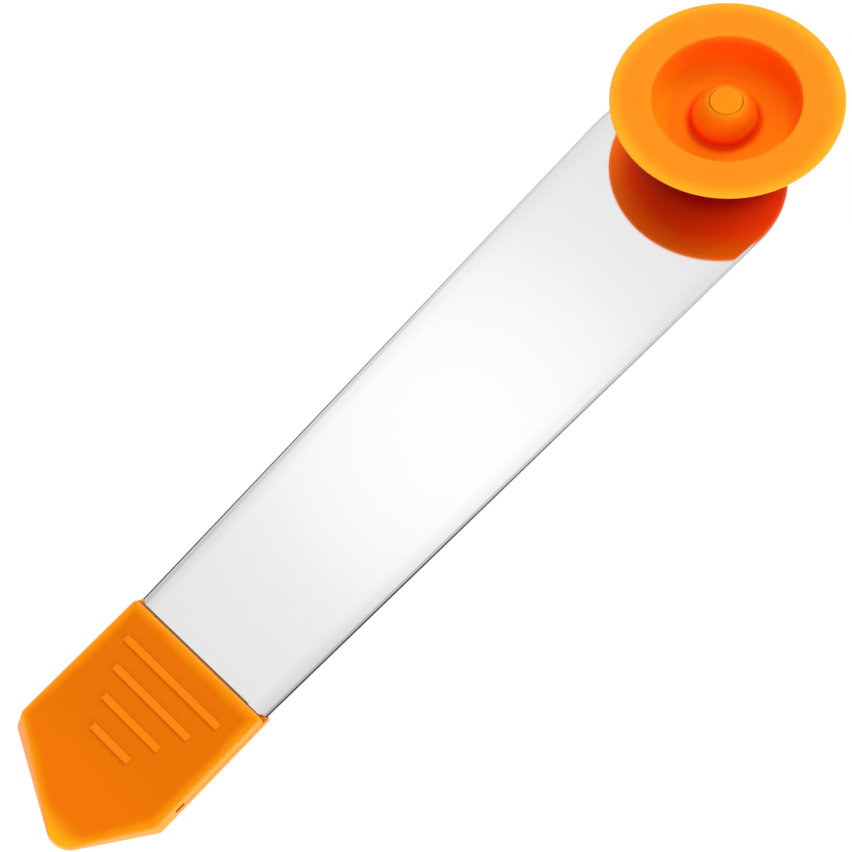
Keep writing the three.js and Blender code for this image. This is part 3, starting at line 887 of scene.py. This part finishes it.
def blade_rivet(material):
    """The rivet: a flat head under the blade, its shank, and the end spread over the washer."""
    bottom = (RIVET_LOW.z - CUP_PLACE.z) / MM
    top = (RIVET_HIGH.z - CUP_PLACE.z) / MM
    head_top = BLADE_BOTTOM - FACE_GAP - CUP_PLACE.z / MM
    upset_bottom = top - RIVET_UPSET_HEIGHT
    rounding = RIVET_ROUNDING
    profile = [(0, bottom), (RIVET_HEAD_RADIUS - 1, bottom)]
    profile += arc((RIVET_HEAD_RADIUS - rounding, bottom + rounding), (rounding,) * 2, -90, 0, FINE_ARC)
    profile += [(RIVET_HEAD_RADIUS, head_top), (RIVET_SHANK_RADIUS, head_top)]
    profile += [(RIVET_SHANK_RADIUS, upset_bottom), (RIVET_UPSET_RADIUS, upset_bottom)]
    profile += arc((RIVET_UPSET_RADIUS - rounding, top - rounding), (rounding,) * 2, 0, 90, FINE_ARC)
    profile += [(0, top)]
    piece = make_object("blade_rivet", turned(profile, TURN_SEGMENTS // 2))
    place(piece, CUP_PLACE)
    settle(piece, material, "tool", "rivet_steel", "cup_rivet")
    return piece


def boss_washer(material):
    """The washer under the rivet's spread end."""
    low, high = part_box("rivet_washer")
    bottom = (low.z - CUP_PLACE.z) / MM
    top = (high.z - CUP_PLACE.z) / MM
    rounding = WASHER_ROUNDING
    edge = WASHER_OUTER_RADIUS - rounding
    profile = [(WASHER_INNER_RADIUS, bottom)]
    profile += arc((edge, bottom + rounding), (rounding,) * 2, -90, 0, SMALL_ARC)
    profile += arc((edge, top - rounding), (rounding,) * 2, 0, 90, SMALL_ARC)
    profile += [(WASHER_INNER_RADIUS, top)]
    piece = make_object("boss_washer", turned(profile, TURN_SEGMENTS // 2))
    place(piece, CUP_PLACE)
    settle(piece, material, "tool", "rivet_steel", "rivet_washer")
    return piece


# ---- Studio ----------------------------------------------------------------------------------

# The bright patch that the steel mirrors, and the brightness at growing closeness to its middle.
PATCH_DIRECTION = Vector((0.27, 0.36, 1.0)).normalized()
PATCH_STOPS = (
    (0.0, 1.35), (0.25, 0.5), (0.65, 0.5), (0.9, 0.64),
    (0.975, 0.9), (0.99, 0.945), (0.9995, 1.135),
)
PAPER_DARK = (0.05, 0.05, 0.05, 1)
PAPER_LIGHT = (0.06, 0.06, 0.06, 1)
GLOW_DARK = (0.955, 0.955, 0.955, 1)
GLOW_LIGHT = (0.97, 0.97, 0.97, 1)


def studio_world():
    """Dim pale surroundings with one bright soft patch overhead, which the polished steel mirrors."""
    world = bpy.data.worlds.new("studio")
    world.use_nodes = True
    tree = world.node_tree
    background = tree.nodes["Background"]
    direction = tree.nodes.new("ShaderNodeTexCoord").outputs["Generated"]
    closeness = tree.nodes.new("ShaderNodeVectorMath")
    closeness.operation = "DOT_PRODUCT"
    closeness.inputs[1].default_value = PATCH_DIRECTION
    tree.links.new(direction, closeness.inputs[0])
    ramp = tree.nodes.new("ShaderNodeValToRGB")
    while len(ramp.color_ramp.elements) < len(PATCH_STOPS):
        ramp.color_ramp.elements.new(0.5)
    for element, (spot, grey) in zip(ramp.color_ramp.elements, PATCH_STOPS):
        element.position = spot
        element.color = (grey, grey, grey, 1)
    tree.links.new(closeness.outputs["Value"], ramp.inputs["Fac"])
    tree.links.new(ramp.outputs["Color"], background.inputs["Color"])
    bpy.context.scene.world = world


def softbox(name, place_at, width, height, power):
    """A rectangular lamp aimed at the tool, which the steel doesn't mirror. Sizes are in metres."""
    light = bpy.data.lights.new(name, "AREA")
    light.shape = "RECTANGLE"
    light.size = width
    light.size_y = height
    light.energy = power
    lamp = bpy.data.objects.new(name, light)
    lamp.location = place_at
    lamp.rotation_euler = (-Vector(place_at)).to_track_quat("-Z", "Y").to_euler()
    lamp.visible_glossy = False
    bpy.context.scene.collection.objects.link(lamp)


def paper_material():
    """White paper that glows, so that shadows on it stay faint, and is clear when seen from its back."""
    graph = Graph("white_paper")
    coordinates = graph.add("ShaderNodeTexCoord").outputs["Object"]
    fibres = graph.noise(coordinates, 300.0, 2.0)
    graph.set(
        Base_Color=graph.mix(fibres, PAPER_DARK, PAPER_LIGHT),
        Emission_Color=graph.mix(fibres, GLOW_DARK, GLOW_LIGHT),
        Emission_Strength=1.0,
        Roughness=0.9,
        Specular_IOR_Level=0.0,
    )
    back = graph.add("ShaderNodeNewGeometry").outputs["Backfacing"]
    clear = graph.add("ShaderNodeBsdfTransparent").outputs[0]
    front = graph.shader.outputs[0]
    shown = graph.add("ShaderNodeMixShader", {0: back, 1: front, 2: clear})
    graph.feed(graph.tree.nodes["Material Output"].inputs["Surface"], shown.outputs[0])
    return graph.material


def backdrop(name, bm, paper):
    """A stage piece that neither lights nor shades the tool."""
    piece = make_object(name, bm)
    piece.data.materials.append(paper)
    piece.visible_diffuse = False
    piece.visible_shadow = False
    return piece


def paper_stage():
    """A floor under the tool, and a dome around everything that shows in no reflection.

    make_object turns the dome's faces outwards, so its paper doesn't show to a camera inside it.
    """
    paper = paper_material()
    ground = bmesh.new()
    bmesh.ops.create_grid(ground, x_segments=1, y_segments=1, size=STAGE_RADIUS)
    bmesh.ops.translate(ground, verts=ground.verts, vec=(0, 0, -FLOOR_GAP))
    backdrop("floor", ground, paper)
    dome = bmesh.new()
    bmesh.ops.create_icosphere(dome, subdivisions=4, radius=STAGE_RADIUS)
    backdrop("backdrop", dome, paper).visible_glossy = False


def camera():
    """The camera looks down along the tool from beside the grip."""
    aim = Vector((-2.87, 0.57, BLADE_TOP)) * MM
    azimuth = math.radians(-34.34)
    elevation = math.radians(65.31)
    roll = math.radians(13.38)
    distance = 204.7 * MM
    back = Vector((
        math.sin(azimuth) * math.cos(elevation),
        -math.cos(azimuth) * math.cos(elevation),
        math.sin(elevation),
    ))
    level = (-back).to_track_quat("-Z", "Y").to_matrix().to_4x4()
    lens = bpy.data.cameras.new("camera")
    lens.lens = 69.4
    lens.sensor_width = 36
    lens.clip_start = 0.01
    lens.clip_end = 20
    eye = bpy.data.objects.new("camera", lens)
    eye.matrix_world = Matrix.Translation(aim + back * distance) @ level @ Matrix.Rotation(-roll, 4, "Z")
    bpy.context.scene.collection.objects.link(eye)
    bpy.context.scene.camera = eye


def studio():
    """Surroundings, paper, three lamps and the camera."""
    studio_world()
    paper_stage()
    softbox("key_light", (0.44, 0.08, 0.46), 0.3, 0.3, 1.72)
    softbox("fill_light", (-0.26, 0.30, 0.52), 0.4, 0.4, 0.72)
    softbox("front_light", (-0.1, -0.6, 0.16), 0.5, 0.2, 1.4)
    camera()
    bpy.context.scene.view_settings.view_transform = "Standard"


# ---- Build -----------------------------------------------------------------------------------

plastic = plastic_material()
rubber = rubber_material()
rivet_steel = rivet_material()
grip_moulding(plastic)
cover_plate(plastic)
blade_strip(steel_material(), sheared_edge_material())
rubber_cup(rubber)
boss_plug(rubber)
blade_rivet(rivet_steel)
boss_washer(rivet_steel)
studio()
